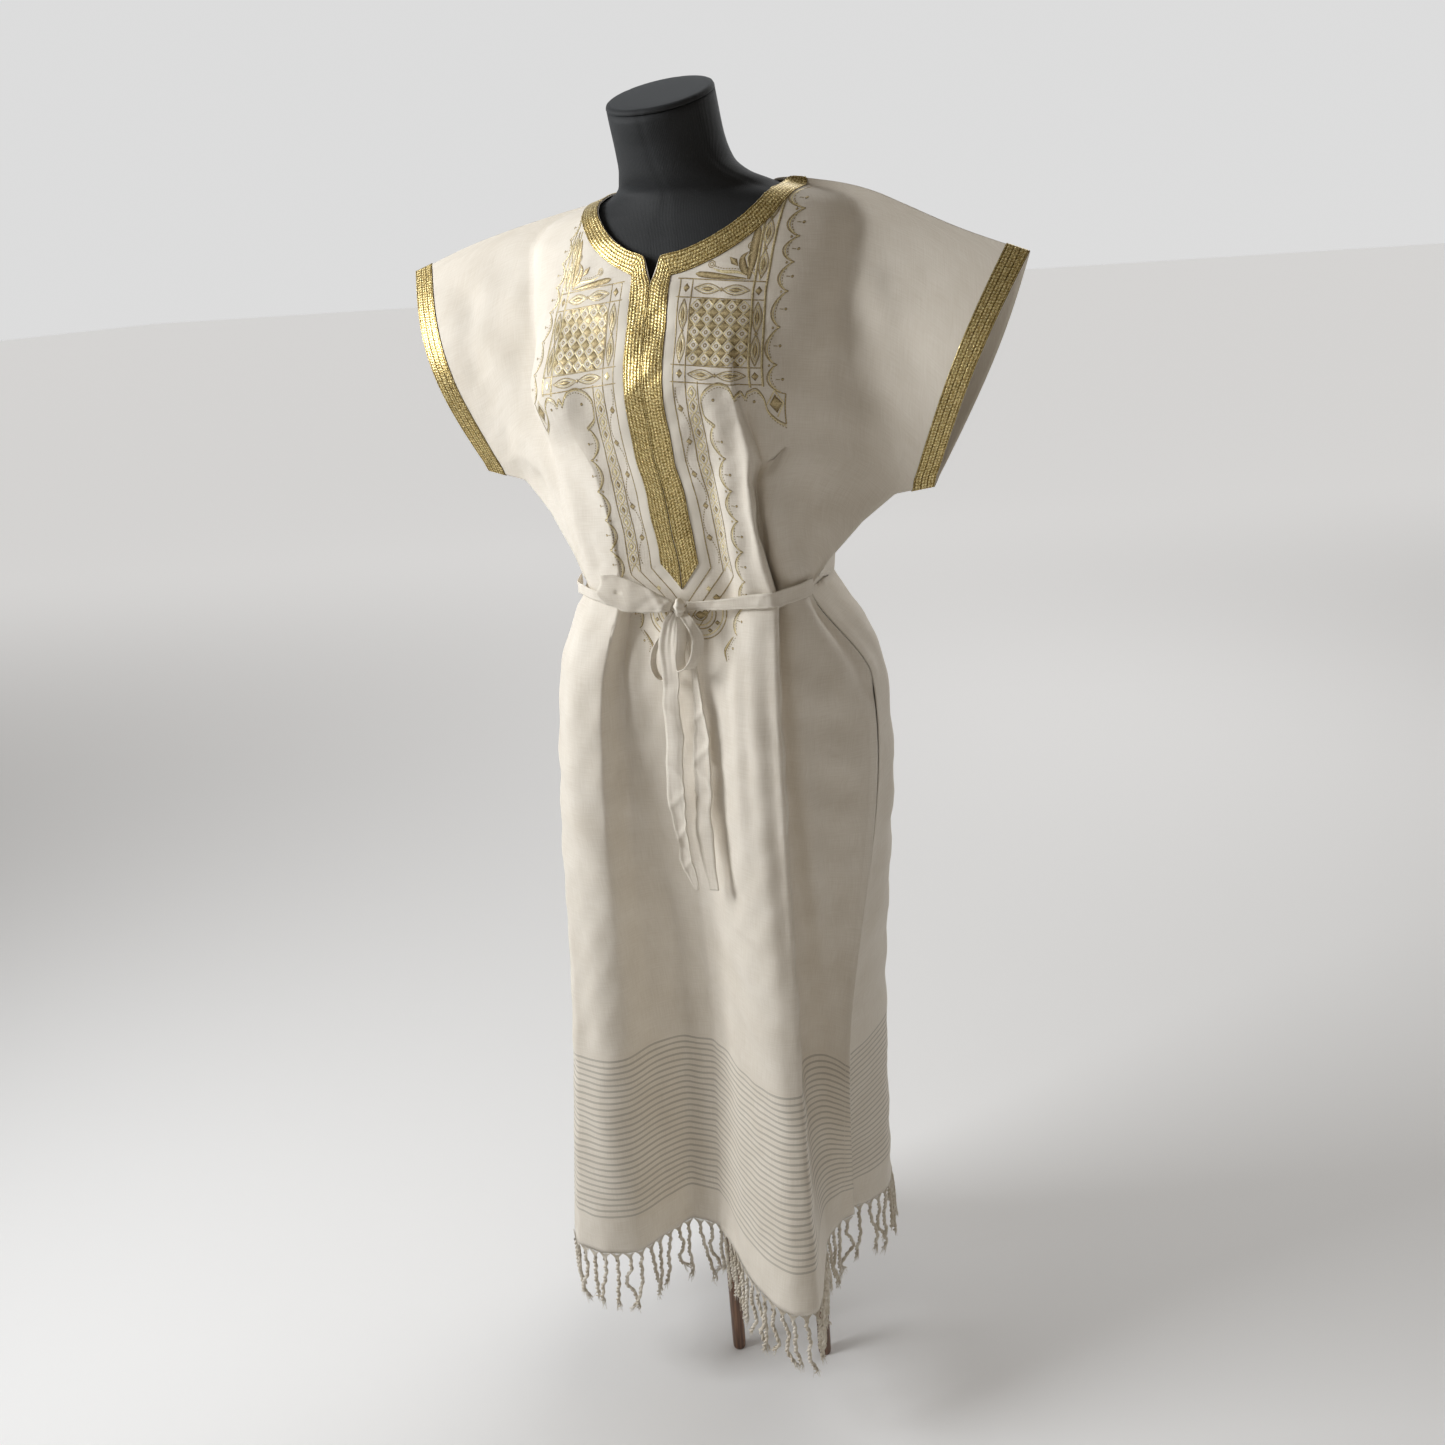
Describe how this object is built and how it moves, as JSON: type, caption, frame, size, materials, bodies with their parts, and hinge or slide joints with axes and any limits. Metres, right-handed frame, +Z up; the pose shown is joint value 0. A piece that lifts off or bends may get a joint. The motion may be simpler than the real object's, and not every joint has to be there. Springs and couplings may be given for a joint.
{
  "type": "kaftan dress on a limbless dress form with a stand",
  "caption": "Long kaftan dress with short sleeves, braided neck, belt tied in a bow, side slits and a fringed hem, standing on a limbless dress form with a three-legged stand.",
  "frame": {"origin": "middle of the whole object's box seen from above, on the floor under the stand's feet", "axes": "+Z up, -Y the way the dress faces, +X the dress's own left side"},
  "size_m": [0.7232, 0.3602, 1.5864],
  "materials": {
    "cotton": "matte plain weave",
    "gold_braid": "corded metallic thread",
    "black_jersey": "matte knit",
    "steel": "brushed",
    "wood": "satin varnish"
  },
  "bodies": {
    "root": {"front_panel": "cotton", "back_panel": "cotton", "neck_braid": "gold_braid", "cuff_braid_right": "gold_braid", "cuff_braid_left": "gold_braid", "tie_left": "cotton", "tie_right": "cotton", "knot": "cotton", "bow_loop_large": "cotton", "bow_loop_small": "cotton", "bow_loop_side": "cotton", "tail_front": "cotton", "tail_back": "cotton", "fringe_front": "cotton", "fringe_back": "cotton", "dress_form": "black_jersey", "neck_cap": "black_jersey", "pole": "steel", "hub": "wood", "leg_front_right": "wood", "leg_front_left": "wood", "leg_back": "wood"}
  },
  "joints": []
}
